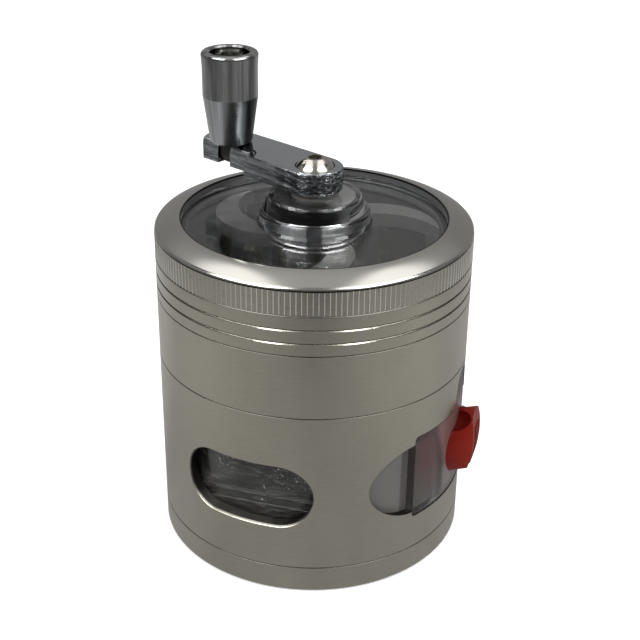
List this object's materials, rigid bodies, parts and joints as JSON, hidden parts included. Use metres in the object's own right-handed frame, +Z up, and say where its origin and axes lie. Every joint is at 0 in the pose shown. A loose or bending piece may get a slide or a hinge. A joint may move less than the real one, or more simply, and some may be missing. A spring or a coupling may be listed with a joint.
{
  "type": "hand-crank herb grinder",
  "caption": "Round stacked metal herb grinder with a clear lid, a crank with a fold-down knob, side windows, a pull-out clear drawer with a red pull and a screw-on base.",
  "frame": {"origin": "middle of the flat underside of the base tier", "axes": "+Z up along the tiers' common axis, +X out of the drawer's front"},
  "size_m": [0.067, 0.063, 0.0969],
  "materials": {
    "satin_metal": "satin nickel plate over a zinc alloy casting, fine turned grain, polished rim",
    "chrome": "bright chrome plate",
    "screw_steel": "plain bright steel",
    "clear_plastic": "clear moulded acrylic",
    "red_plastic": "solid red moulding, softly glossy",
    "dark_polymer": "dark acetal",
    "pale_polymer": "natural nylon",
    "wire_mesh": "fine woven stainless mesh",
    "magnet": "nickel-plated disc magnet"
  },
  "bodies": {
    "storage": {"storage_chamber": "satin_metal", "guide_sleeve": "clear_plastic", "sieve_screen": "wire_mesh", "sieve_ring": "dark_polymer"},
    "base": {"base_cap": "satin_metal"},
    "drawer": {"drawer_tray": "clear_plastic", "drawer_front": "clear_plastic", "drawer_pull": "red_plastic"},
    "chamber": {"grinding_chamber": "satin_metal", "chamber_collar": "satin_metal", "chamber_magnet": "magnet"},
    "lid": {"lid_ring": "satin_metal", "lid_window": "clear_plastic", "shaft_bush": "dark_polymer", "boss_ring": "screw_steel", "glide_ring": "pale_polymer"},
    "crank": {"crank_shaft": "screw_steel", "crank_arm": "chrome", "arm_screw": "screw_steel", "arm_washer": "chrome", "fold_pin": "screw_steel", "rotor": "satin_metal", "rotor_magnet": "magnet"},
    "fold": {"knob_spindle": "chrome", "knob_screw": "screw_steel"},
    "knob": {"crank_knob": "chrome"}
  },
  "joints": [
    {"name": "base_unscrew", "type": "hinge", "parent": "storage", "child": "base", "pos_m": [0, 0, 0.003], "axis": [0, 0, -1], "range_deg": [0, 900]},
    {"name": "drawer_slide", "type": "slide", "parent": "storage", "child": "drawer", "axis": [1, 0, 0], "range_m": [0, 0.034]},
    {"name": "chamber_unscrew", "type": "hinge", "parent": "storage", "child": "chamber", "pos_m": [0, 0, 0.04], "axis": [0, 0, 1], "range_deg": [0, 900]},
    {"name": "lid_lift", "type": "slide", "parent": "chamber", "child": "lid", "axis": [0, 0, 1], "range_m": [0, 0.03]},
    {"name": "crank_spin", "type": "hinge", "parent": "lid", "child": "crank", "pos_m": [0, 0, 0.07], "axis": [0, 0, 1], "continuous": true},
    {"name": "knob_fold", "type": "hinge", "parent": "crank", "child": "fold", "pos_m": [-0.02012, 0.00773, 0.0756], "axis": [0.9063, -0.4226, 0], "range_deg": [0, 90]},
    {"name": "knob_spin", "type": "hinge", "parent": "fold", "child": "knob", "pos_m": [-0.02012, 0.00773, 0.0876], "axis": [0, 0, 1], "continuous": true}
  ]
}
